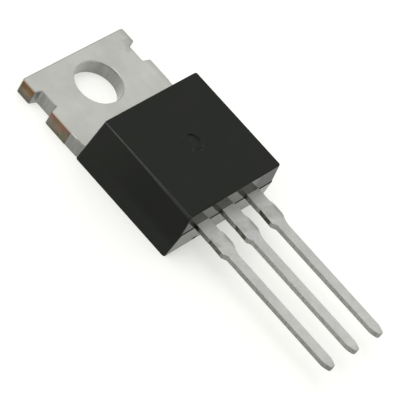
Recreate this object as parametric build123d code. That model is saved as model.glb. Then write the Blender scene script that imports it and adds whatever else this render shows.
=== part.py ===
from build123d import *
import os
from math import atan2, degrees, hypot

# Power MOSFET in a moulded three-lead package with a bolt-down heatsink tab.
# X runs across the package, +Y from the lead tips to the tab's free end, and
# +Z from the heatsink face (z = 0) to the marking face. The origin is the
# centre of the mounting hole on the heatsink face. Millimetres.

# Heatsink tab
tab_width = 9.82
tab_thickness = 1.27
tab_end = 2.74                 # hole centre to the free end
tab_corner = 0.16
hole_diameter = 3.60
hole_break = 0.04              # broken edge at the front of the hole
edge_roll = 0.08               # die roll along the stamped front outline
edge_drop = 0.04
notch_depth = 0.62
notch_top = 1.46
notch_bottom = -0.27
notch_slope = 0.15             # how far each notch wall leans over its depth
notch_corner = 0.18
notch_mouth = 0.15             # rounding of the outer corners of each notch
tie_end = -2.28                # the sheared tie bars reach down to here
tab_neck_width = 9.76          # and stand out a little from the neck below
neck_end = -3.30
throat_width = 9.48            # slimmer where the mould closes on it

# Die pad, the tab's own metal inside the body
pad_width = 8.00               # narrower than the tab, so resin wraps its sides
pad_inset = 0.20               # the pad starts this far inside the body
pad_slope = 0.35
pad_end = -9.81
lip_reach = 0.30               # coined lips that lock the pad into the resin
lip_low = 0.35
lip_high = 0.80
lip_top = -4.61
lip_bottom = -9.21
groove_y = -4.81               # moisture groove across the pad
groove_depth = 0.25

# Leads, all stamped from the thin gauge of the strip
lead_pitch = 2.54
lead_thickness = 0.43
lead_front = 2.54              # height of the leads' front faces
lead_wide = 1.20
lead_narrow = 0.79
lead_edge = 0.04               # die roll on the front edges
lead_tip = -25.46
tip_taper = 0.55
tip_width = 0.36
tip_round = 0.20
taper_round = 1.20

# Remains of the dam bar that joined the leads while the resin was moulded
stub_top = -13.85
stub_bottom = -15.22
shear_lean = 0.03              # the sheared -X side leans this far each way
shear_step = 0.15
stub_reach = 0.15              # the stub stands out this far on the +X side
stub_ramp = 0.35
stub_foot = -14.80
stub_round = 0.10
stub_bevel = 0.14              # shear bevel on the stub's upper edge
bevel_slope = 0.60
shoulder_end = -15.55          # the narrow pin starts here on the -X side
waist = -15.45                 # and here on the +X side, in two slopes
waist_reach = 0.07
pin_start = -15.85
shoulder_round = 0.12

# Inner ends of the leads
post_top = -10.15
post_bottom = -11.75
gate_post_width = 1.90
source_post_width = 2.50
lock_hole = 0.55
lock_hole_y = -12.00
strap_width = 1.50             # the drain strap carries on from the pad's end
strap_end = -11.90
crank_start = -10.15           # and is cranked up to the lead plane
crank_end = -11.05
bend_radius = 0.30

# Moulded body, in two drafted halves that meet at the leads' mid-plane
body_front = 4.18
body_parting = lead_front - lead_thickness / 2
body_front_width = 9.13
body_back_width = 9.93
body_top_front = -3.76         # end wall at the tab side, at the front face
body_top_back = -3.49          # and at the heatsink face
body_low_front = -12.44        # end wall at the lead side, at the front face
body_low_parting = -12.57
body_low_back = -12.50
body_ledge = 0.04              # the back half stands out under the front half
body_corner = 0.18
body_rim = 0.10
mark_radius = 0.66             # ejector pin mark in the marking face
mark_depth = 0.09
mark_y = -8.00
mark_bevel = 0.03
pit_x = -2.05                  # small pit low in the lead end wall
pit_height = 0.25
pit_length = 0.30
pit_radius = 0.07

# Chip and solder
die_length = 3.60
die_width = 4.40
die_thickness = 0.25
die_y = -7.30
solder_thickness = 0.05
solder_margin = 0.12
solder_corner = 0.20

# Bonding wires
source_wire = 0.38             # heavy aluminium wire
gate_wire = 0.15
foot_height = 0.60             # squashed foot, as shares of the wire's diameter
foot_width = 1.25
foot_length = 1.90
loop_height = 0.90
loop_bend = 0.60
loop_crest = 0.36              # share of the span at which the loop is highest
source_pad = (0.75, -7.85)
source_pad_spread = (1.24, 0.19)
gate_pad = (-1.75, -8.65)
post_spread = 0.95
wire_inset = 0.15              # gate wire lands this far towards the middle

gate_x = -lead_pitch
source_x = lead_pitch
lead_back = lead_front - lead_thickness
die_base = tab_thickness + solder_thickness
die_top = die_base + die_thickness
landing_y = (post_top + post_bottom) / 2 + wire_inset
on_floor = (Align.CENTER, Align.CENTER, Align.MIN)
touch = 0.01                   # tolerance when picking corners by place


def mirrored(points):
    """Closed outline from the +X half of a shape that is symmetric in X."""
    return points + [(-x, y) for x, y in reversed(points)]


def tab_outline():
    half = tab_width / 2
    inner = half - notch_depth
    neck = tab_neck_width / 2
    throat = throat_width / 2
    pad_half = pad_width / 2
    pad_start = body_top_front - pad_inset
    with BuildSketch() as sketch:
        with BuildLine():
            Polyline(
                *mirrored([
                    (half, tab_end),
                    (half, notch_top),
                    (inner, notch_top - notch_slope),
                    (inner, notch_bottom + notch_slope),
                    (half, notch_bottom),
                    (half, tie_end),
                    (neck, tie_end - half + neck),
                    (neck, neck_end),
                    (throat, body_top_front),
                    (throat, pad_start),
                    (pad_half, pad_start - pad_slope),
                    (pad_half, pad_end),
                ]),
                close=True,
            )
        make_face()
        notch_corners = sketch.vertices().filter_by(lambda v: abs(abs(v.X) - inner) < touch)
        fillet(notch_corners, notch_corner)
        mouth_corners = sketch.vertices().filter_by(
            lambda v: abs(v.X) > half - touch and notch_bottom - touch < v.Y < notch_top + touch
        )
        fillet(mouth_corners, notch_mouth)
        free_corners = sketch.vertices().filter_by(lambda v: v.Y > tab_end - touch)
        fillet(free_corners, tab_corner)
        Circle(hole_diameter / 2, mode=Mode.SUBTRACT)
    return sketch.sketch


def on_hole(edge):
    start = edge @ 0
    return hypot(start.X, start.Y) < hole_diameter / 2 + touch


def drain_tab():
    """Tab and die pad, one thick blank with rolled edges on its front side."""
    plate = extrude(tab_outline(), tab_thickness)
    front = plate.faces().sort_by(Axis.Z)[-1]
    seen = front.edges().filter_by(lambda e: e.center().Y > body_top_front - pad_inset)
    plate = chamfer(seen.filter_by(on_hole, reverse=True), edge_roll, edge_drop, reference=front)
    hole_rim = plate.faces().sort_by(Axis.Z)[-1].edges().filter_by(on_hole)
    plate = chamfer(hole_rim, hole_break)
    lips = Pos(0, (lip_top + lip_bottom) / 2, lip_low) * Box(
        pad_width + 2 * lip_reach, lip_top - lip_bottom, lip_high - lip_low, align=on_floor
    )
    groove_section = Plane.YZ * Polygon(
        (groove_y - groove_depth, tab_thickness),
        (groove_y, tab_thickness - groove_depth),
        (groove_y + groove_depth, tab_thickness),
        align=None,
    )
    return plate + lips - extrude(groove_section, tab_width, both=True)


def lead_outline(centre, root_width, root_top, root_bottom):
    """Plan of one lead: inner end, shank, dam-bar stub, narrow pin and tip."""
    wide = lead_wide / 2
    narrow = lead_narrow / 2
    reach = wide + stub_reach
    taper = lead_tip + tip_taper
    left_side = [
        (-root_width / 2, root_top),
        (-root_width / 2, root_bottom),
        (-wide, root_bottom),
        (-wide, stub_top),
        (-wide + shear_lean, stub_top - shear_step),
        (-wide - shear_lean, stub_bottom),
        (-narrow, shoulder_end),
        (-narrow, taper),
        (-tip_width / 2, lead_tip),
    ]
    right_side = [
        (tip_width / 2, lead_tip),
        (narrow, taper),
        (narrow, pin_start),
        (narrow + waist_reach, waist),
        (reach, stub_foot),
        (reach, stub_top - stub_ramp / 2),
        (wide, stub_top + stub_ramp / 2),
        (wide, root_bottom),
        (root_width / 2, root_bottom),
        (root_width / 2, root_top),
    ]

    def round_corners(low, high, radius, side=-lead_pitch):
        corners = sketch.vertices().filter_by(
            lambda v: low - touch < v.Y < high + touch and v.X > centre + side
        )
        fillet(corners, radius)

    with BuildSketch() as sketch:
        with BuildLine():
            Polyline(*[(centre + x, y) for x, y in left_side + right_side], close=True)
        make_face()
        round_corners(lead_tip, lead_tip, tip_round)
        round_corners(taper, taper, taper_round)
        round_corners(pin_start, stub_bottom, shoulder_round)
        round_corners(stub_foot, stub_top + stub_ramp / 2, stub_round, side=0)
    return sketch.sketch


def stub_cutter(centre):
    """Wedge that bevels the sheared dam bar's upper edge on the +X side."""
    edge = centre + lead_wide / 2 + stub_reach
    wedge = Plane.XZ * Polygon(
        (edge - stub_bevel, lead_front),
        (edge + stub_bevel, lead_front),
        (edge + stub_bevel, lead_front - 2 * stub_bevel * bevel_slope),
        align=None,
    )
    middle = (stub_top + stub_bottom) / 2
    length = stub_top - stub_bottom
    return Pos(0, middle, 0) * extrude(wedge, length / 2, both=True)


def roll_front_edges(lead):
    """Die roll along the front edges of the part of a lead that is seen."""
    front_edges = lead.faces().sort_by(Axis.Z)[-1].edges()
    return chamfer(front_edges.filter_by(lambda e: e.center().Y < lock_hole_y), lead_edge)


def signal_lead(centre, post_width):
    """Gate or source lead: a bonding post, flat all the way to its tip."""
    outline = lead_outline(centre, post_width, post_top, post_bottom)
    blank = Pos(0, 0, lead_back) * extrude(outline, lead_thickness)
    hole = Pos(centre, lock_hole_y, lead_back) * Cylinder(
        lock_hole / 2, lead_thickness, align=on_floor
    )
    return roll_front_edges(blank) - stub_cutter(centre) - hole


def drain_lead():
    """Middle lead, cranked from the end of the pad up to the lead plane."""
    low_back = tab_thickness - lead_thickness
    run = crank_start - crank_end
    rise = lead_back - low_back
    corner_shift = lead_thickness * (hypot(run, rise) - run) / rise
    beyond_tip = lead_tip - lead_wide
    with BuildSketch(Plane.YZ) as side:
        with BuildLine():
            Polyline(
                (pad_end, low_back),
                (crank_start, low_back),
                (crank_end, lead_back),
                (beyond_tip, lead_back),
                (beyond_tip, lead_front),
                (crank_end + corner_shift, lead_front),
                (crank_start + corner_shift, tab_thickness),
                (pad_end, tab_thickness),
                close=True,
            )
        make_face()
        bends = side.vertices().filter_by(
            lambda v: crank_end - touch < v.Y < crank_start + corner_shift + touch
        )
        fillet(bends, bend_radius)
    strip = extrude(side.sketch, strap_width, both=True)
    blank = extrude(lead_outline(0, strap_width, pad_end, strap_end), body_front)
    return roll_front_edges(strip & blank) - stub_cutter(0)


def solder_layer():
    layer = RectangleRounded(
        die_width + 2 * solder_margin, die_length + 2 * solder_margin, solder_corner
    )
    return Pos(0, die_y, tab_thickness) * extrude(layer, solder_thickness)


def die():
    return Pos(0, die_y, die_base) * Box(die_width, die_length, die_thickness, align=on_floor)


def round_wire(path, radius):
    """Round wire along straight runs and arcs, as rods and sectors of a ring."""
    runs = []
    for edge in path.edges():
        start = edge @ 0
        heading = edge % 0
        disc = Plane(start, z_dir=heading) * Circle(radius)
        if edge.geom_type == GeomType.LINE:
            runs.append(extrude(disc, edge.length))
        else:
            centre = edge.arc_center
            turn = Axis(centre, (start - centre).cross(heading))
            runs.append(revolve(disc, turn, degrees(edge.length / edge.radius)))
    wire = runs[0]
    for run in runs[1:]:
        wire = wire + run
    return wire


def bond_wire(start, end, size):
    """Wedge-bonded wire: two squashed feet and a loop between them."""
    run_x = end[0] - start[0]
    run_y = end[1] - start[1]
    rise = end[2] - start[2]
    span = hypot(run_x, run_y)
    heading = degrees(atan2(run_y, run_x))
    radius = size / 2
    crest = rise + loop_height
    frame = Plane(origin=start, x_dir=(run_x, run_y, 0), z_dir=(run_y, -run_x, 0))
    corners = [(0, radius), (span * loop_crest, crest), (span, rise + radius)]
    with BuildLine(frame) as loop:
        FilletPolyline(*corners, radius=loop_bend)
    foot_plan = Rectangle(size * foot_length, size * foot_width)
    foot = Rot(0, 0, heading) * extrude(foot_plan, size * foot_height)
    return round_wire(loop.line, radius) + Pos(*start) * foot + Pos(*end) * foot


def section(width, top, bottom, height):
    centre_y = (top + bottom) / 2
    return Pos(0, centre_y, height) * RectangleRounded(width, top - bottom, body_corner)


def at_parting(front_value, back_value):
    """Value at the parting height, on a straight line from back to front."""
    share = body_parting / body_front
    return back_value + (front_value - back_value) * share


def body_shell():
    width = at_parting(body_front_width, body_back_width)
    top = at_parting(body_top_front, body_top_back)
    back_half = loft(
        [
            section(body_back_width, body_top_back, body_low_back, 0),
            section(width, top, body_low_parting - body_ledge, body_parting),
        ],
        ruled=True,
    )
    front_half = loft(
        [
            section(width, top, body_low_parting, body_parting),
            section(body_front_width, body_top_front, body_low_front, body_front),
        ],
        ruled=True,
    )
    rim = front_half.faces().sort_by(Axis.Z)[-1].edges()
    return back_half + fillet(rim, body_rim)


def ejector_mark():
    mark = Pos(0, mark_y, body_front - mark_depth) * Cylinder(
        mark_radius, mark_depth * 2, align=on_floor
    )
    floor_edge = mark.edges().sort_by(Axis.Z)[0]
    return chamfer(floor_edge, mark_bevel)


def wall_pit():
    """Small pit in the lead end wall, under the gate lead."""
    return Pos(pit_x, body_low_back, pit_height) * Rot(0, 90, 0) * Cylinder(
        pit_radius, pit_length
    )


def moulded_body(embedded):
    body = body_shell() - ejector_mark() - wall_pit()
    for piece in embedded:
        body = body - piece
    return body


def source_wire_piece(side):
    """One of two parallel wires; side is -1 or 1."""
    start = (
        source_pad[0] + side * source_pad_spread[0] / 2,
        source_pad[1] + side * source_pad_spread[1] / 2,
        die_top,
    )
    end = (source_x + side * post_spread / 2, landing_y, lead_front)
    return bond_wire(start, end, source_wire)


def gate_wire_piece():
    start = (*gate_pad, die_top)
    end = (gate_x + wire_inset, landing_y, lead_front)
    return bond_wire(start, end, gate_wire)


def main():
    pieces = {
        "drain_tab": drain_tab(),
        "drain_lead": drain_lead(),
        "gate_lead": signal_lead(gate_x, gate_post_width),
        "source_lead": signal_lead(source_x, source_post_width),
        "die_solder": solder_layer(),
        "silicon_die": die(),
        "gate_wire": gate_wire_piece(),
        "source_wire_1": source_wire_piece(-1),
        "source_wire_2": source_wire_piece(1),
    }
    pieces["moulded_body"] = moulded_body(list(pieces.values()))
    os.makedirs("parts", exist_ok=True)
    for name, shape in pieces.items():
        export_step(shape, f"parts/{name}.step")
        print(name, round(shape.volume, 3))


main()
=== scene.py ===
import bpy
from collections import namedtuple
from math import radians
from mathutils import Matrix, Vector


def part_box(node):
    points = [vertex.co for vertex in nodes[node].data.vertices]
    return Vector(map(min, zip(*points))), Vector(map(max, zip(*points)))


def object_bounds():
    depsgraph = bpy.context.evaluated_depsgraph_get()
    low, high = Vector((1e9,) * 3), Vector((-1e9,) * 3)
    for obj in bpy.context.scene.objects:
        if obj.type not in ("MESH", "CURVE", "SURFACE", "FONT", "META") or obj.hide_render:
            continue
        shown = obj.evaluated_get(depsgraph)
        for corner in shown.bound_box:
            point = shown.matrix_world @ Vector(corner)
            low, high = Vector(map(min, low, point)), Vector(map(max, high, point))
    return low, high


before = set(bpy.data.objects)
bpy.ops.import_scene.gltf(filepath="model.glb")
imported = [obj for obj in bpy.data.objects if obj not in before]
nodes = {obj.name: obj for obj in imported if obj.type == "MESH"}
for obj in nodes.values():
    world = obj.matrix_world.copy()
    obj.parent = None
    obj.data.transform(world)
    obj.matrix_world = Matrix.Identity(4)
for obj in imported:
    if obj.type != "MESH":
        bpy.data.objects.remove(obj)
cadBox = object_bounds()
mm = 0.001                     # the frame is in metres
print("frame loaded:", ", ".join(sorted(nodes)))


def newMaterial(name):
    mat = bpy.data.materials.new(name)
    mat.use_nodes = True
    tree = mat.node_tree
    tree.nodes.clear()
    output = tree.nodes.new("ShaderNodeOutputMaterial")
    return mat, tree, output.inputs["Surface"]


def newPrincipled(name):
    mat, tree, surface = newMaterial(name)
    shader = tree.nodes.new("ShaderNodeBsdfPrincipled")
    tree.links.new(shader.outputs["BSDF"], surface)
    return mat, tree, shader


def plug(tree, socket, value):
    if isinstance(value, bpy.types.NodeSocket):
        tree.links.new(value, socket)
    else:
        socket.default_value = value


def calc(tree, operation, a, b=0.0):
    node = tree.nodes.new("ShaderNodeMath")
    node.operation = operation
    plug(tree, node.inputs[0], a)
    plug(tree, node.inputs[1], b)
    return node.outputs[0]


def plus(tree, a, b):
    return calc(tree, "ADD", a, b)


def minus(tree, a, b):
    return calc(tree, "SUBTRACT", a, b)


def absolute(tree, a):
    return calc(tree, "ABSOLUTE", a)


def larger(tree, a, b):
    return calc(tree, "MAXIMUM", a, b)


def product(tree, *factors):
    total = factors[0]
    for factor in factors[1:]:
        total = calc(tree, "MULTIPLY", total, factor)
    return total


def distance(tree, dx, dy):
    return calc(tree, "SQRT", plus(tree, product(tree, dx, dx), product(tree, dy, dy)))


def along(tree, x, y, direction):
    return plus(tree, product(tree, x, direction[0]), product(tree, y, direction[1]))


def ramp(tree, value, start, end, low=0.0, high=1.0):
    node = tree.nodes.new("ShaderNodeMapRange")     # smooth step: low before start, high after end
    node.interpolation_type = "SMOOTHSTEP"
    plug(tree, node.inputs["Value"], value)
    node.inputs["From Min"].default_value = start
    node.inputs["From Max"].default_value = end
    plug(tree, node.inputs["To Min"], low)
    plug(tree, node.inputs["To Max"], high)
    return node.outputs["Result"]


def toneWhere(tree, amount, tone):
    return ramp(tree, amount, 0.0, 1.0, 1.0, tone)


def band(tree, value, low, high, soft):
    rising = ramp(tree, value, low - soft, low + soft)
    falling = ramp(tree, value, high - soft, high + soft, 1.0, 0.0)
    return product(tree, rising, falling)


def blend(tree, factor, a, b):
    node = tree.nodes.new("ShaderNodeMix")
    node.data_type = "RGBA"
    plug(tree, node.inputs["Factor"], factor)
    plug(tree, node.inputs["A"], (*a, 1.0) if isinstance(a, tuple) else a)
    plug(tree, node.inputs["B"], (*b, 1.0) if isinstance(b, tuple) else b)
    return node.outputs["Result"]


def between(tree, factor, a, b):
    node = tree.nodes.new("ShaderNodeMix")
    plug(tree, node.inputs["Factor"], factor)
    plug(tree, node.inputs["A"], a)
    plug(tree, node.inputs["B"], b)
    return node.outputs["Result"]


def dimmed(tree, colour, factor):
    node = tree.nodes.new("ShaderNodeVectorMath")
    node.operation = "SCALE"
    plug(tree, node.inputs[0], colour)
    plug(tree, node.inputs["Scale"], factor)
    return node.outputs[0]


Point = namedtuple("Point", "place x y z nx ny nz")


def axes(tree, vector):
    node = tree.nodes.new("ShaderNodeSeparateXYZ")
    tree.links.new(vector, node.inputs[0])
    return node.outputs[0], node.outputs[1], node.outputs[2]


def shadedPoint(tree):                     # in millimetres, with the way that the surface faces
    coords = tree.nodes.new("ShaderNodeTexCoord")
    mapping = tree.nodes.new("ShaderNodeMapping")
    mapping.inputs["Scale"].default_value = (1 / mm, 1 / mm, 1 / mm)
    tree.links.new(coords.outputs["Object"], mapping.inputs["Vector"])
    place = mapping.outputs["Vector"]
    return Point(place, *axes(tree, place), *axes(tree, coords.outputs["Normal"]))


def grain(tree, where, perMm, detail, rough, stretch=None):
    if stretch:
        mapping = tree.nodes.new("ShaderNodeMapping")
        mapping.inputs["Scale"].default_value = stretch
        tree.links.new(where, mapping.inputs["Vector"])
        where = mapping.outputs["Vector"]
    node = tree.nodes.new("ShaderNodeTexNoise")
    node.inputs["Scale"].default_value = perMm
    node.inputs["Detail"].default_value = detail
    node.inputs["Roughness"].default_value = rough
    tree.links.new(where, node.inputs["Vector"])
    return node.outputs["Fac"]


def wavering(tree, value, noise, reach):
    return plus(tree, value, product(tree, minus(tree, noise, 0.5), reach))


def relief(tree, shader, height, depth, strength):
    node = tree.nodes.new("ShaderNodeBump")
    node.inputs["Strength"].default_value = strength
    node.inputs["Distance"].default_value = depth * mm
    tree.links.new(height, node.inputs["Height"])
    tree.links.new(node.outputs["Normal"], shader.inputs["Normal"])


def dress(nodeName, material):
    for place in nodes[nodeName].material_slots:
        place.material = material
    print("finished", nodeName, "with", material.name)


# Places are in millimetres. A ramp is given as its start, its end and the values before and
# after, a band as low, high and softness, a grain as scale, detail, roughness and stretch.
tin = {
    "face": (0.575, 0.580, 0.535),         # plated front and back faces
    "faceCloud": (0.530, 0.535, 0.495),    # slightly duller clouds in the plating
    "leadFace": (0.566, 0.575, 0.536),     # the leads are plated a little cooler
    "leadCloud": (0.561, 0.561, 0.546),
    "edge": (0.30, 0.30, 0.285),           # the tab's punched edges, plated over a rough shear
    "leadEdge": (0.29, 0.29, 0.277),       # the leads' sheared sides, a little smoother
    "leadFlat": (0.45, 0.92),              # how squarely a lead's face looks up or down
    "clouds": (0.55, 3.0, 0.55),
    "cloudMix": (0.35, 0.68),
    "cloudRoughness": (0.3, 0.7, 0.44, 0.40),
    "streaks": (5.0, 3.0, 0.6, (1.0, 1.0, 0.10)),      # drag marks of the punch, along Z
    "streakTone": (0.30, 0.70, 0.92, 1.08),
    "fine": (9.0, 3.0, 0.6),
    "fineDepth": 0.004,
    "fineStrength": 0.35,
}


def tinMaterial(name, colourOf):
    mat, tree, shader = newPrincipled(name)
    at = shadedPoint(tree)
    clouds = grain(tree, at.place, *tin["clouds"])
    streaks = ramp(tree, grain(tree, at.place, *tin["streaks"]), *tin["streakTone"])
    plug(tree, shader.inputs["Base Color"], colourOf(tree, at, clouds, streaks))
    plug(tree, shader.inputs["Roughness"], ramp(tree, clouds, *tin["cloudRoughness"]))
    shader.inputs["Metallic"].default_value = 1.0
    relief(tree, shader, grain(tree, at.place, *tin["fine"]), tin["fineDepth"], tin["fineStrength"])
    return mat


tabFaceShadeAndTone = {
    "paintedShading": (2.2, 3.0, 0.6, (1.0, 0.35, 1.0)),       # painted shade, in patches along the source side's edge
    "paintedShadingMix": (0.30, 0.55),
    "paintedShadingAcross": (4.35, 4.65, 0.0, 0.11),
    "notchShadeAlong": (0.92, 1.92, 0.12),     # painted shade beside the source side's notch
    "notchShadeAcross": (3.55, 3.85, 0.0, 0.16),
    "notchShadeLean": (0.9, 1.8, 0.0, 0.45),
    "brightAlong": (-0.5, -0.1, 0.03, 0.0),             # brighter on the source side of the hole
    "brightAcross": (2.9, 3.5),
    "brightBandAlong": (-1.35, -0.20, 0.25),    # brighter right across the tab
    "brightBandTone": 0.035,
}


def tabFaceTone(tree, at):
    # painted shade along the source side's edge and beside its notch, and brighter patches elsewhere
    edgeShade = ramp(tree, grain(tree, at.place, *tabFaceShadeAndTone["paintedShading"]), *tabFaceShadeAndTone["paintedShadingMix"])
    edgeShade = product(tree, ramp(tree, at.x, *tabFaceShadeAndTone["paintedShadingAcross"]), edgeShade)
    inward = minus(tree, at.x, ramp(tree, at.y, *tabFaceShadeAndTone["notchShadeLean"]))
    notchShade = band(tree, at.y, *tabFaceShadeAndTone["notchShadeAlong"])
    notchShade = product(tree, notchShade, ramp(tree, inward, *tabFaceShadeAndTone["notchShadeAcross"]))
    brightPatch = ramp(tree, at.x, *tabFaceShadeAndTone["brightAcross"])
    brightPatch = product(tree, brightPatch, ramp(tree, at.y, *tabFaceShadeAndTone["brightAlong"]))
    brightBand = product(tree, band(tree, at.y, *tabFaceShadeAndTone["brightBandAlong"]), tabFaceShadeAndTone["brightBandTone"])
    brighter = plus(tree, brightPatch, brightBand)
    return plus(tree, minus(tree, 1.0, edgeShade), minus(tree, brighter, notchShade))


tabEdge = {
    "neck": (-2.35, -2.15, 0.87, 1.0),     # duller on the neck, along Y
    "towardsLeads": (-0.9, -0.4, 1.22, 1.0),           # edges that look towards the leads
    "holeEnds": (1.9, 2.1),                # from the hole's middle
    "holeShadedSide": (0.927, 0.375),            # the side of the hole's wall left darkest; the wall is painted lighter away from it, a painted reflection
    "wall": (0.2, 1.8, 1.85, 0.99),
    "lineHeight": (1.08, 1.18, 0.03),      # painted shade: a thin dark line under the rim on that side
    "lineAcross": (1.45, 1.75),
    "lineTone": 0.78,
    "rimHeight": (1.17, 1.22),
    "rim": (0.6, 1.7, 1.28, 1.90),         # painted highlight: the hole's rim brightens along Y
}


def tabEdgeTone(tree, at):
    # painted reflection on the hole's wall, painted highlight on its rim, painted shade in a line under
    # it
    towards = along(tree, at.x, at.y, tabEdge["holeShadedSide"])
    line = band(tree, at.z, *tabEdge["lineHeight"])
    line = product(tree, line, ramp(tree, towards, *tabEdge["lineAcross"]))
    wall = product(
        tree,
        ramp(tree, towards, *tabEdge["wall"]),
        ramp(tree, at.z, *tabEdge["rimHeight"], 1.0, ramp(tree, at.y, *tabEdge["rim"])),
        toneWhere(tree, line, tabEdge["lineTone"]),
    )
    outside = ramp(tree, at.y, *tabEdge["neck"])
    outside = product(tree, outside, ramp(tree, at.ny, *tabEdge["towardsLeads"]))
    return between(tree, ramp(tree, distance(tree, at.x, at.y), *tabEdge["holeEnds"]), wall, outside)


tabRim = {
    "roll": (0.50, 0.50, 0.48),            # rolled rim of the tab's front face
    "side": (0.36, 0.36, 0.345),           # the same rim along the tab's two sides
    "flat": (0.93, 0.97),                  # how squarely the face looks up, where the rim ends
    "steep": (0.35, 0.60, 1.0, 0.0),       # and where the punched edge begins
    "leaning": (0.25, 0.40),
    "fromMiddle": (3.8, 4.1),
    "farEnd": (2.5, 2.7, 1.0, 0.0),
    "besideHole": (-0.4, -0.2, 1.05, 0.80),            # brighter from there towards the leads
    "neck": (-3.0, -2.7, 0.50, 1.0),       # and dark again close to the body
}


def tabRimColour(tree, at):
    onSide = product(
        tree,
        ramp(tree, absolute(tree, at.nx), *tabRim["leaning"]),
        ramp(tree, at.y, *tabRim["farEnd"]),
        ramp(tree, absolute(tree, at.x), *tabRim["fromMiddle"]),
    )
    sideTone = product(tree, ramp(tree, at.y, *tabRim["besideHole"]), ramp(tree, at.y, *tabRim["neck"]))
    # painted highlight on the hole's rim
    holeTone = ramp(tree, at.y, *tabEdge["rim"])
    holeTone = ramp(tree, distance(tree, at.x, at.y), *tabEdge["holeEnds"], holeTone, 1.0)
    roll = dimmed(tree, tabRim["roll"], holeTone)
    return blend(tree, onSide, roll, dimmed(tree, tabRim["side"], sideTone))


tieBar = {
    "smear": (0.200, 0.166, 0.118),        # tin dragged over the cut
    "smearBack": (0.168, 0.155, 0.122),
    "brown": (0.150, 0.096, 0.048),        # bare copper, dulled
    "orange": (0.226, 0.101, 0.030),
    "red": (0.222, 0.116, 0.097),
    "rust": (0.214, 0.108, 0.070),
    "ashy": (0.178, 0.134, 0.108),
    "olive": (0.184, 0.126, 0.072),
    "grey": (0.186, 0.174, 0.152),
    "green": (0.128, 0.150, 0.086),
    "tipRim": (0.26, 0.20, 0.15),          # copper showing on the rolled rim
    "neckRim": (0.30, 0.26, 0.22),
    "tip": (1.44, 2.62, 0.03),             # the cut at the tab's corner, along Y
    "neck": (-2.27, -0.24, 0.03),          # the cut beside the hole, along Y
    "fromMiddle": (4.68, 4.74),
    "sideways": (0.45, 0.75),
    "torn": (2.4, 3.0, 0.6, (1.0, 0.55, 1.5)),
    "tornReach": 0.5,                      # how far the tear wavers along Y, and along Z
    "tornDepth": 1.0,
    "patches": (1.3, 2.0, 0.5),
    "patchTone": (0.30, 0.70, 0.80, 1.04),
    "orangeMix": (0.38, 0.58),
    "orangeAlong": (1.7, 2.3, 1.0, 0.15),
    "orangeHeight": (0.78, 1.00, 0.35, 1.0),
    "redAlong": (-0.80, -0.55),
    "rustAlong": (-1.80, -1.35, 0.08),
    "rustMix": 0.8,
    "ashyAlong": (-2.05, -1.80, 0.8, 0.0),
    "copperHeight": (0.50, 0.95),          # bare copper above, dragged tin below
    "smearHeight": (0.10, 0.45),
    "smearBackTone": (-0.5, 1.5, 0.84, 1.0),
    "greenAlong": (-2.02, -1.68, 0.10),
    "greenHeight": (0.62, 0.80, 0.85, 0.0),
    "neckGreyAlong": (-1.1, -0.6),
    "neckGreyHeight": (0.60, 0.85, 0.7, 0.0),
    "tipGreyAlong": (1.65, 1.95, 0.75, 0.0),
    "tipGreyHeight": (0.50, 0.80, 1.0, 0.0),
    "neckEndTone": (-2.22, -1.95, 0.80, 1.0),
    "tipEndTone": (2.40, 2.60, 1.0, 0.82),
    "rimLeaning": (0.25, 0.40),
    "rimUpward": (0.80, 0.86),
}


def tornCopper(tree, at, onTip, onNeck):
    torn = grain(tree, at.place, *tieBar["torn"])
    tornY = wavering(tree, at.y, torn, tieBar["tornReach"])
    tornZ = wavering(tree, at.z, torn, tieBar["tornDepth"])

    orange = ramp(tree, torn, *tieBar["orangeMix"])
    orange = product(tree, orange, ramp(tree, at.y, *tieBar["orangeAlong"]))
    orange = product(tree, orange, ramp(tree, at.z, *tieBar["orangeHeight"]))
    tipCopper = blend(tree, orange, tieBar["brown"], tieBar["orange"])
    neckCopper = blend(tree, ramp(tree, tornY, *tieBar["redAlong"]), tieBar["olive"], tieBar["red"])
    rust = product(tree, band(tree, tornY, *tieBar["rustAlong"]), tieBar["rustMix"])
    neckCopper = blend(tree, rust, neckCopper, tieBar["rust"])
    neckCopper = blend(tree, ramp(tree, at.y, *tieBar["ashyAlong"]), neckCopper, tieBar["ashy"])

    cut = blend(tree, onNeck, tipCopper, neckCopper)
    cut = blend(tree, ramp(tree, tornZ, *tieBar["copperHeight"]), tieBar["smear"], cut)
    back = dimmed(tree, tieBar["smearBack"], ramp(tree, at.y, *tieBar["smearBackTone"]))
    cut = blend(tree, ramp(tree, tornZ, *tieBar["smearHeight"]), back, cut)
    green = band(tree, tornY, *tieBar["greenAlong"])
    green = product(tree, green, ramp(tree, at.z, *tieBar["greenHeight"]))
    cut = blend(tree, green, cut, tieBar["green"])
    neckGrey = product(tree, onNeck, ramp(tree, at.y, *tieBar["neckGreyAlong"]))
    neckGrey = product(tree, neckGrey, ramp(tree, at.z, *tieBar["neckGreyHeight"]))
    cut = blend(tree, neckGrey, cut, tieBar["grey"])
    tipGrey = product(tree, onTip, ramp(tree, at.y, *tieBar["tipGreyAlong"]))
    tipGrey = product(tree, tipGrey, ramp(tree, at.z, *tieBar["tipGreyHeight"]))
    cut = blend(tree, tipGrey, cut, tieBar["grey"])

    cut = dimmed(tree, cut, ramp(tree, grain(tree, at.place, *tieBar["patches"]), *tieBar["patchTone"]))
    neckEnd = ramp(tree, at.y, *tieBar["neckEndTone"])
    return dimmed(tree, cut, product(tree, neckEnd, ramp(tree, at.y, *tieBar["tipEndTone"])))


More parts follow.
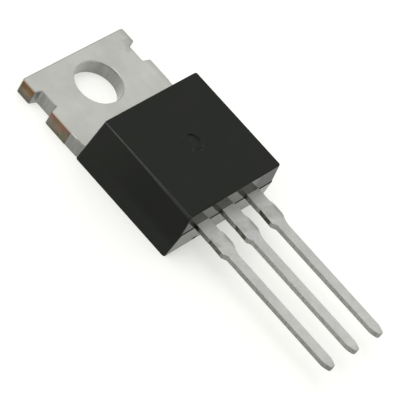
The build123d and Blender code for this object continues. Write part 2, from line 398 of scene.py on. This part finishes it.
def addTieBarCut(tree, colour, at):
    leaning = absolute(tree, at.nx)
    outside = ramp(tree, absolute(tree, at.x), *tieBar["fromMiddle"])
    onTip = band(tree, at.y, *tieBar["tip"])
    onNeck = band(tree, at.y, *tieBar["neck"])
    spans = larger(tree, onTip, onNeck)
    onCut = product(tree, outside, ramp(tree, leaning, *tieBar["sideways"]), spans)
    colour = blend(tree, onCut, colour, tornCopper(tree, at, onTip, onNeck))
    onRim = ramp(tree, leaning, *tieBar["rimLeaning"])
    onRim = product(tree, onRim, ramp(tree, at.nz, *tieBar["rimUpward"]), outside, spans)
    return blend(tree, onRim, colour, blend(tree, onNeck, tieBar["tipRim"], tieBar["neckRim"]))


def tabColour(tree, at, clouds, streaks):
    upright = absolute(tree, at.nz)
    face = blend(tree, ramp(tree, clouds, *tin["cloudMix"]), tin["faceCloud"], tin["face"])
    face = dimmed(tree, face, tabFaceTone(tree, at))
    edge = dimmed(tree, tin["edge"], product(tree, streaks, tabEdgeTone(tree, at)))
    rim = tabRimColour(tree, at)
    around = blend(tree, ramp(tree, upright, *tabRim["steep"]), rim, edge)
    colour = blend(tree, ramp(tree, upright, *tabRim["flat"]), around, face)
    return addTieBarCut(tree, colour, at)


dress("drain_tab", tinMaterial("tin plated tab", tabColour))


damBar = {
    "span": (-15.02, -13.92, 0.06),        # the cut on each lead, along Y
    "cutAcross": (-0.555, -0.505, 1.0, 0.0),           # from the lead's middle
    "cut": (0.057, 0.058, 0.049),
    "cutLight": (0.152, 0.151, 0.132),
    "cutMix": (0.38, 0.66),
    "torn": (3.2, 3.0, 0.65),
    "tornReach": 0.25,
}


def addDamBarCut(tree, colour, at, local, sideways):
    torn = grain(tree, at.place, *damBar["torn"])
    tornY = wavering(tree, at.y, torn, damBar["tornReach"])
    cut = ramp(tree, local, *damBar["cutAcross"])
    cut = product(tree, cut, sideways, band(tree, tornY, *damBar["span"]))
    cutColour = blend(tree, ramp(tree, torn, *damBar["cutMix"]), damBar["cut"], damBar["cutLight"])
    return blend(tree, cut, colour, cutColour)


leadPitch = 2.54
leadFace = {                               # tones of a lead's face, mostly along its length
    "patches": (1.3, 3.0, 0.6),
    "patchTone": (0.35, 0.65, 0.96, 1.04),
    "mottle": (5.0, 3.0, 0.7),
    "mottleTone": (0.3, 0.7, 0.965, 1.035),
    "root": (-14.3, -13.2, 0.97, 0.80),    # painted shade where it leaves the body
    # painted light: brighter again right at the body, and towards the tip
    "atBody": (-13.0, -12.6, 1.0, 1.22),
    "towardsTip": (-24.0, -16.0, 1.07, 1.0),
    "end": (-25.45, -24.90),               # the tapered tip, with painted shade on its source side
    "endTone": (-0.20, 0.05, 0.97, 0.85),
    "slant": 0.35,                         # the stains lie askew across the lead
    "stub": (-15.05, -13.85, 0.25),        # the wide part beside the dam bar's cut
    "stubEdge": (0.34, 0.54),              # painted shade on its bevelled edge, from the lead's middle
    "stubEdgeShade": 0.82,
    "source": (1.6, 2.3),
    "sourceTone": 0.84,                    # the source lead's stub as a whole
    "smudge": (-14.80, -13.95, 0.10),      # a stain across each stub, strongest on the gate's
    "gateSmudge": (-3.05, -2.65, 0.17, 0.03),
    "drain": (-1.0, 1.0, 0.3),
    "drainSmudge": 0.09,
    "edgeSmudge": (-14.72, -14.25, 0.08),  # and along the stub's two edges
    "cutEdge": (-0.35, -0.10, 0.10, 0.0),
    "farEdge": (0.10, 0.35, 0.0, 0.05),
}


def leadFaceTone(tree, at, local):
    slanted = plus(tree, at.y, product(tree, local, leadFace["slant"]))
    stub = band(tree, slanted, *leadFace["stub"])
    # painted shade on the stub's bevelled edge
    bevelShade = product(tree, ramp(tree, local, *leadFace["stubEdge"]), stub)
    source = product(tree, ramp(tree, at.x, *leadFace["source"]), stub)
    drainSmudge = product(tree, band(tree, at.x, *leadFace["drain"]), leadFace["drainSmudge"])
    smudge = plus(tree, ramp(tree, at.x, *leadFace["gateSmudge"]), drainSmudge)
    smudge = product(tree, band(tree, slanted, *leadFace["smudge"]), smudge)
    edges = plus(tree, ramp(tree, local, *leadFace["cutEdge"]), ramp(tree, local, *leadFace["farEdge"]))
    edges = product(tree, band(tree, at.y, *leadFace["edgeSmudge"]), edges)
    return product(
        tree,
        ramp(tree, grain(tree, at.place, *leadFace["patches"]), *leadFace["patchTone"]),
        ramp(tree, at.y, *leadFace["root"]),
        ramp(tree, at.y, *leadFace["atBody"]),
        ramp(tree, at.y, *leadFace["towardsTip"]),
        ramp(tree, at.y, *leadFace["end"], ramp(tree, local, *leadFace["endTone"]), 1.0),
        toneWhere(tree, bevelShade, leadFace["stubEdgeShade"]),
        toneWhere(tree, source, leadFace["sourceTone"]),
        minus(tree, 1.0, plus(tree, smudge, edges)),
        ramp(tree, grain(tree, at.place, *leadFace["mottle"]), *leadFace["mottleTone"]),
    )


leadSide = {                               # tones of a lead's sheared sides
    "sideways": (0.3, 0.7, 1.0, 0.0),
    "waist": (-15.4, -15.1),
    "wide": (-3.4, 2.0, 0.75, 1.30),       # darkest on the gate's stub, lightest on the source's
    "narrow": (-3.4, -0.2, 0.86, 1.08),
    # painted shade on the sides near the body
    "root": (-14.0, -13.6, 1.0, 0.77),
    "end": (-25.2, -24.6, 0.80, 1.0),
    "rootCornerShade": (-12.95, -12.55, 1.0, 0.12),             # painted shade in the corner where it leaves the body
    "rootCornerShadeLonger": (-2.0, -1.5, 0.14, -0.10),
    "speckle": (7.0, 3.0, 0.8),
    "speckleTone": (0.38, 0.62, 0.82, 1.17),
}


def leadSideTone(tree, at):
    narrow = ramp(tree, at.x, *leadSide["narrow"])
    wide = ramp(tree, at.x, *leadSide["wide"])
    cornerY = plus(tree, at.y, ramp(tree, at.x, *leadSide["rootCornerShadeLonger"]))
    return product(
        tree,
        between(tree, ramp(tree, at.y, *leadSide["waist"]), narrow, wide),
        ramp(tree, at.y, *leadSide["root"]),
        ramp(tree, at.y, *leadSide["end"]),
        ramp(tree, cornerY, *leadSide["rootCornerShade"]),
        ramp(tree, grain(tree, at.place, *leadSide["speckle"]), *leadSide["speckleTone"]),
    )


def leadColour(tree, at, clouds, streaks):
    shifted = plus(tree, at.x, leadPitch * 1.5)        # above zero for all three leads
    repeated = calc(tree, "MODULO", shifted, leadPitch)
    local = minus(tree, repeated, leadPitch / 2)       # from each lead's own middle
    upright = absolute(tree, at.nz)
    sideways = ramp(tree, upright, *leadSide["sideways"])
    face = blend(tree, ramp(tree, clouds, *tin["cloudMix"]), tin["leadCloud"], tin["leadFace"])
    edge = dimmed(tree, tin["leadEdge"], streaks)
    colour = blend(tree, ramp(tree, upright, *tin["leadFlat"]), edge, face)
    tone = between(tree, sideways, leadFaceTone(tree, at, local), leadSideTone(tree, at))
    return addDamBarCut(tree, dimmed(tree, colour, tone), at, local, sideways)


leadTin = tinMaterial("tin plated lead", leadColour)
for leadName in ("drain_lead", "gate_lead", "source_lead"):
    dress(leadName, leadTin)


resin = {
    "skin": (0.0156, 0.0187, 0.0140),
    "skinCloud": (0.0178, 0.0192, 0.0176),
    "clouds": (0.45, 3.0, 0.5),
    "cloudMix": (0.3, 0.7),
    "roughness": (0.2, 0.8, 0.47, 0.57),
    "texture": (16.0, 2.0, 0.6),
    "textureDepth": 0.006,
    "textureStrength": 0.5,
    "specular": 0.10,
    "gateSide": (-0.90, -0.70, 1.0, 0.0),
    "upperHalf": (0.8, 1.8),
    # painted shade on the gate-side face: darker towards the leads on its upper part, lighter on its
    # lower part
    "upperShade": (-9.5, -4.0, 0.64, 1.08),
    "lowerLight": 1.12,
}

rimHighlight = {                                # painted highlight along the front's rim, on the gate side
    "grey": (0.075, 0.078, 0.072),
    "leanFrom": (0.20, 0.50),
    "leanTo": (0.85, 0.98, 1.0, 0.0),
    "towardsGate": (-0.45, -0.25, 1.0, 0.0),
    "offMark": (0.75, 0.85),               # not on the rim of the ejector pin's mark
    "sideHeight": (4.06, 4.12, 0.0, 0.70),             # the painted highlight reaches down the side
    "sideReach": (-12.5, -4.5, 0.17, 0.0),             # and lower towards the leads
    "tone": (-12.2, -4.0, 0.70, 1.15),
    "streaks": (0.9, 2.0, 0.5, (1.0, 1.0, 0.2)),
    "streakTone": (0.3, 0.7, 0.85, 1.12),
}


def addRimHighlight(tree, colour, at, gateSide, fromMark):
    # painted highlight along the gate-side rim, brighter towards the tab
    rim = product(
        tree,
        ramp(tree, at.nz, *rimHighlight["leanFrom"]),
        ramp(tree, at.nz, *rimHighlight["leanTo"]),
        ramp(tree, at.nx, *rimHighlight["towardsGate"]),
        ramp(tree, fromMark, *rimHighlight["offMark"]),
    )
    height = plus(tree, at.z, ramp(tree, at.y, *rimHighlight["sideReach"]))
    below = product(tree, gateSide, ramp(tree, height, *rimHighlight["sideHeight"]))
    streaks = ramp(tree, grain(tree, at.place, *rimHighlight["streaks"]), *rimHighlight["streakTone"])
    highlightTone = product(tree, ramp(tree, at.y, *rimHighlight["tone"]), streaks)
    return blend(tree, larger(tree, rim, below), colour, dimmed(tree, rimHighlight["grey"], highlightTone))


pinMark = {                                # round mark of the mould's ejector pin
    "middle": -8.00,                       # along Y
    "atFront": (4.02, 4.06),
    "wall": (0.590, 0.700, 0.03),          # from its middle
    "lit": (0.84, 0.54),                   # painted light and shade: the way that its wall changes from light to dark
    "wallTone": (-0.3, 0.2, 0.95, 1.80),   # painted light half way round
    # painted shade on the wall that way
    "darkFrom": (0.55, 0.84),
    "darkTone": 0.86,
    "floor": (0.54, 0.60, 1.0, 0.0),
    "mottle": (2.6, 2.0, 0.5),
    "mottleTone": (0.36, 0.62, 0.98, 1.30),
}


def addPinMark(tree, colour, at, markY, fromMark):
    atFront = ramp(tree, at.z, *pinMark["atFront"])
    turned = calc(tree, "DIVIDE", along(tree, at.x, markY, pinMark["lit"]), fromMark)
    # painted light and shade on the mark's wall
    lightTone = ramp(tree, turned, *pinMark["wallTone"])
    wallTone = ramp(tree, turned, *pinMark["darkFrom"], lightTone, pinMark["darkTone"])
    onWall = product(tree, band(tree, fromMark, *pinMark["wall"]), atFront)
    colour = dimmed(tree, colour, between(tree, onWall, 1.0, wallTone))
    mottle = ramp(tree, grain(tree, at.place, *pinMark["mottle"]), *pinMark["mottleTone"])
    onFloor = product(tree, ramp(tree, fromMark, *pinMark["floor"]), atFront)
    return dimmed(tree, colour, between(tree, onFloor, 1.0, mottle))


spots = {                                  # X, Y and radius of each, on the front
    # painted highlights: light specks beside the pin mark
    "paintedShading": [
        (0.49, -8.62, 0.10), (0.14, -8.78, 0.10),
        (-0.33, -8.39, 0.09), (-0.43, -8.48, 0.09), (-0.53, -8.58, 0.08),
    ],
    "paintedShadingMix": 0.5,
    # small dark dots inside the pin mark
    "darkDots": [(0.30, -7.83, 0.09)],
    "darkDotMix": (0.0, 0.6, 1.0, 0.35),
    "upward": (0.9, 0.98),
}


def addSpots(tree, colour, at):
    upward = ramp(tree, at.nz, *spots["upward"])
    # painted highlights at the light specks
    for spotX, spotY, radius in spots["paintedShading"]:
        away = distance(tree, minus(tree, at.x, spotX), minus(tree, at.y, spotY))
        paintedSpeck = product(tree, ramp(tree, away, 0.0, radius, spots["paintedShadingMix"], 0.0), upward)
        colour = blend(tree, paintedSpeck, colour, rimHighlight["grey"])
    for spotX, spotY, radius in spots["darkDots"]:
        away = distance(tree, minus(tree, at.x, spotX), minus(tree, at.y, spotY))
        darkDot = product(tree, ramp(tree, away, 0.0, radius, 1.0, 0.0), upward)
        colour = dimmed(tree, colour, ramp(tree, darkDot, *spots["darkDotMix"]))
    return colour


leadEnd = {                                # the end wall comes smoother out of the mould
    "facing": (-0.97, -0.90, 1.0, 0.0),
    "skin": (0.025, 0.024, 0.015),
    "roughness": 0.14,
    "coatRoughness": 0.12,
    "textureLeft": 0.08,
    "parting": (2.25, 2.35),               # back half below, front half above
    "backTone": 1.0,
    "frontShade": (2.0, 2.8, 0.90, 0.30),   # painted shade: darker past the source lead, where the coat also fades
    "backCoat": (3.0, 4.2, 0.4347, 0.345),
    "backCorner": (-4.3, -3.2, 0.90, 1.0),             # a little duller towards the gate side
    "frontCoat": (2.0, 2.8, 0.3036, 0.0345),
    "pitAcross": (-2.23, -1.86, 0.03),
    "pitHeight": (0.06, 0.35, 0.03),
    "pitRoughness": 0.9,
}


def resinMaterial():
    mat, tree, shader = newPrincipled("moulded resin")
    at = shadedPoint(tree)
    gateSide = ramp(tree, at.nx, *resin["gateSide"])
    markY = minus(tree, at.y, pinMark["middle"])
    fromMark = distance(tree, at.x, markY)

    clouds = grain(tree, at.place, *resin["clouds"])
    colour = blend(tree, ramp(tree, clouds, *resin["cloudMix"]), resin["skin"], resin["skinCloud"])
    # painted shade and light on the gate-side face
    upperShade = ramp(tree, at.y, *resin["upperShade"])
    sideTone = between(tree, ramp(tree, at.z, *resin["upperHalf"]), resin["lowerLight"], upperShade)
    colour = dimmed(tree, colour, between(tree, gateSide, 1.0, sideTone))
    colour = addRimHighlight(tree, colour, at, gateSide, fromMark)
    colour = addPinMark(tree, colour, at, markY, fromMark)
    colour = addSpots(tree, colour, at)

    onEnd = ramp(tree, at.ny, *leadEnd["facing"])
    frontHalf = ramp(tree, at.z, *leadEnd["parting"])
    # painted shade on the front half past the source lead
    frontShade = ramp(tree, at.x, *leadEnd["frontShade"])
    endTone = between(tree, frontHalf, leadEnd["backTone"], frontShade)
    colour = blend(tree, onEnd, colour, dimmed(tree, leadEnd["skin"], endTone))
    pit = band(tree, at.x, *leadEnd["pitAcross"])
    pit = product(tree, onEnd, pit, band(tree, at.z, *leadEnd["pitHeight"]))
    texture = grain(tree, at.place, *resin["texture"])
    endRough = ramp(tree, pit, 0.0, 1.0, leadEnd["roughness"], leadEnd["pitRoughness"])
    rough = between(tree, onEnd, ramp(tree, texture, *resin["roughness"]), endRough)
    backCoat = ramp(tree, at.x, *leadEnd["backCoat"])
    backCoat = product(tree, backCoat, ramp(tree, at.x, *leadEnd["backCorner"]))
    coat = between(tree, frontHalf, backCoat, ramp(tree, at.x, *leadEnd["frontCoat"]))

    plug(tree, shader.inputs["Base Color"], colour)
    plug(tree, shader.inputs["Roughness"], rough)
    shader.inputs["Specular IOR Level"].default_value = resin["specular"]
    plug(tree, shader.inputs["Coat Weight"], product(tree, minus(tree, onEnd, pit), coat))
    shader.inputs["Coat Roughness"].default_value = leadEnd["coatRoughness"]
    texture = product(tree, texture, toneWhere(tree, onEnd, leadEnd["textureLeft"]))
    relief(tree, shader, texture, resin["textureDepth"], resin["textureStrength"])
    return mat


dress("moulded_body", resinMaterial())


chip = {
    "silicon": (0.16, 0.16, 0.19),
    "pad": (0.72, 0.72, 0.73),
    "street": 0.12,                        # bare silicon round the metal
    "streetSoft": 0.02,
    "gatePad": (-1.75, -8.65),
    "gatePadHalf": 0.42,
    "moat": 0.08,                          # bare ring inside the gate pad's outline
    "moatSoft": 0.01,
    "upward": (0.5, 0.9),
    "fine": (14.0, 2.0, 0.5),
    "roughness": (0.3, 0.7, 0.18, 0.32),
}


def square(tree, x, y, midX, midY, half, soft):
    acrossX = band(tree, x, midX - half, midX + half, soft)
    return product(tree, acrossX, band(tree, y, midY - half, midY + half, soft))


def chipMaterial():
    mat, tree, shader = newPrincipled("silicon chip")
    at = shadedPoint(tree)
    low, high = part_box("silicon_die")
    halfX = (high.x - low.x) / 2 / mm - chip["street"]
    halfY = (high.y - low.y) / 2 / mm - chip["street"]
    fromMiddle = minus(tree, at.y, (high.y + low.y) / 2 / mm)
    soft = chip["streetSoft"]
    half, moatSoft = chip["gatePadHalf"], chip["moatSoft"]
    gatePad = square(tree, at.x, at.y, *chip["gatePad"], half, moatSoft)
    inner = square(tree, at.x, at.y, *chip["gatePad"], half - chip["moat"], moatSoft)
    metal = product(
        tree,
        ramp(tree, absolute(tree, at.x), halfX - soft, halfX + soft, 1.0, 0.0),
        ramp(tree, absolute(tree, fromMiddle), halfY - soft, halfY + soft, 1.0, 0.0),
        ramp(tree, at.nz, *chip["upward"]),
        minus(tree, 1.0, minus(tree, gatePad, inner)),
    )
    fine = grain(tree, at.place, *chip["fine"])
    plug(tree, shader.inputs["Base Color"], blend(tree, metal, chip["silicon"], chip["pad"]))
    plug(tree, shader.inputs["Roughness"], ramp(tree, fine, *chip["roughness"]))
    shader.inputs["Metallic"].default_value = 1.0
    return mat


solder = {
    "bright": (0.55, 0.55, 0.54),
    "dull": (0.40, 0.40, 0.40),
    "fine": (7.0, 3.0, 0.6),
    "depth": 0.006,
}
bondWire = {
    "bright": (0.80, 0.80, 0.81),
    "dull": (0.66, 0.66, 0.68),
    "fine": (11.0, 3.0, 0.6),
    "depth": 0.003,
}
softMetal = {"mix": (0.3, 0.7), "roughness": (0.3, 0.7, 0.42, 0.28), "strength": 0.4}


def softMetalMaterial(name, metal):
    mat, tree, shader = newPrincipled(name)
    at = shadedPoint(tree)
    fine = grain(tree, at.place, *metal["fine"])
    colour = blend(tree, ramp(tree, fine, *softMetal["mix"]), metal["dull"], metal["bright"])
    plug(tree, shader.inputs["Base Color"], colour)
    plug(tree, shader.inputs["Roughness"], ramp(tree, fine, *softMetal["roughness"]))
    shader.inputs["Metallic"].default_value = 1.0
    relief(tree, shader, fine, metal["depth"], softMetal["strength"])
    return mat


dress("silicon_die", chipMaterial())
dress("die_solder", softMetalMaterial("solder", solder))
wireMetal = softMetalMaterial("bond wire", bondWire)
for wireName in ("gate_wire", "source_wire_1", "source_wire_2"):
    dress(wireName, wireMetal)


table = {
    "size": 1.6,
    "albedo": (0.70, 0.70, 0.675),
    "gap": 0.02 * mm,                      # so that the two faces never coincide
    "glow": 0.45,                          # what brings the lit floor up to white
    "glowTint": (1.0, 0.997, 0.970),
}


def seenBy(tree, *kinds):
    rays = tree.nodes.new("ShaderNodeLightPath")
    seen = rays.outputs[kinds[0]]
    for kind in kinds[1:]:
        seen = larger(tree, seen, rays.outputs[kind])
    return seen


def tableMaterial():
    mat, tree, surface = newMaterial("white table")
    cloth = tree.nodes.new("ShaderNodeBsdfDiffuse")
    cloth.inputs["Color"].default_value = (*table["albedo"], 1.0)
    glow = tree.nodes.new("ShaderNodeEmission")
    glow.inputs["Color"].default_value = (*table["glowTint"], 1.0)
    seen = seenBy(tree, "Is Camera Ray", "Is Glossy Ray", "Is Transmission Ray")
    plug(tree, glow.inputs["Strength"], product(tree, seen, table["glow"]))
    both = tree.nodes.new("ShaderNodeAddShader")
    tree.links.new(cloth.outputs[0], both.inputs[0])
    tree.links.new(glow.outputs[0], both.inputs[1])
    tree.links.new(both.outputs[0], surface)
    return mat


bpy.ops.object.select_all(action="DESELECT")
bpy.ops.mesh.primitive_plane_add(size=table["size"], location=(0, 0, cadBox[0].z - table["gap"]))
floor = bpy.context.object
floor.name = "floor"
floor.data.materials.append(tableMaterial())
print("floor laid at", round(cadBox[0].z, 6))


lamps = {
    "softboxLeft": {"from": (-0.72, 0.23, 0.66), "away": 0.50, "side": 0.26, "glow": 0.8},
    "softboxRight": {"from": (0.60, 0.22, 0.77), "away": 0.50, "side": 0.60, "glow": 0.30},
    "softboxTop": {"from": (-0.17, 0.20, 0.96), "away": 0.55, "side": 0.40, "glow": 1.4},
}
wattsPerArea = 4               # of a softbox with a glow of 1
skyLight = 0.528


def softbox(name, lamp, aim):
    data = bpy.data.lights.new(name, "AREA")
    data.shape = "SQUARE"
    data.size = lamp["side"]
    data.energy = wattsPerArea * lamp["glow"] * lamp["side"] ** 2
    light = bpy.data.objects.new(name, data)
    bpy.context.scene.collection.objects.link(light)
    direction = Vector(lamp["from"]).normalized()
    light.location = aim + direction * lamp["away"]
    light.rotation_euler = direction.to_track_quat("Z", "Y").to_euler()


def lightSky():
    world = bpy.data.worlds.new("studio")
    bpy.context.scene.world = world
    world.use_nodes = True
    tree = world.node_tree
    tree.nodes.clear()
    sky = tree.nodes.new("ShaderNodeBackground")
    sky.inputs["Color"].default_value = (1.0, 1.0, 1.0, 1.0)
    seen = seenBy(tree, "Is Camera Ray", "Is Transmission Ray")
    plug(tree, sky.inputs["Strength"], ramp(tree, seen, 0.0, 1.0, skyLight, 1.0))
    output = tree.nodes.new("ShaderNodeOutputWorld")
    tree.links.new(sky.outputs[0], output.inputs["Surface"])


centre = (cadBox[0] + cadBox[1]) / 2
for lampName, lamp in lamps.items():
    softbox(lampName, lamp, centre)
lightSky()
print("studio lit")


shot = {
    "aim": (-0.673, -10.906, 1.614),       # millimetres
    "away": 179.14,
    "heading": -70.992,                    # degrees round from looking along +Y
    "height": 46.518,
    "roll": 34.019,
    "lens": 243.233,
    "sensor": 36.0,
    "clip": (0.01, 10.0),                  # metres
}


def placeCamera():
    data = bpy.data.cameras.new("camera")
    data.lens = shot["lens"]
    data.sensor_width = shot["sensor"]
    data.clip_start, data.clip_end = shot["clip"]
    camera = bpy.data.objects.new("camera", data)
    bpy.context.scene.collection.objects.link(camera)
    aim = Matrix.Translation(Vector(shot["aim"]) * mm)
    turn = Matrix.Rotation(radians(shot["heading"]), 4, "Z")
    tilt = Matrix.Rotation(radians(90 - shot["height"]), 4, "X")
    step = Matrix.Translation((0, 0, shot["away"] * mm))
    roll = Matrix.Rotation(radians(shot["roll"]), 4, "Z")
    camera.matrix_world = aim @ turn @ tilt @ step @ roll
    bpy.context.scene.camera = camera


placeCamera()
bpy.context.scene.view_settings.view_transform = "Standard"
print("camera placed")
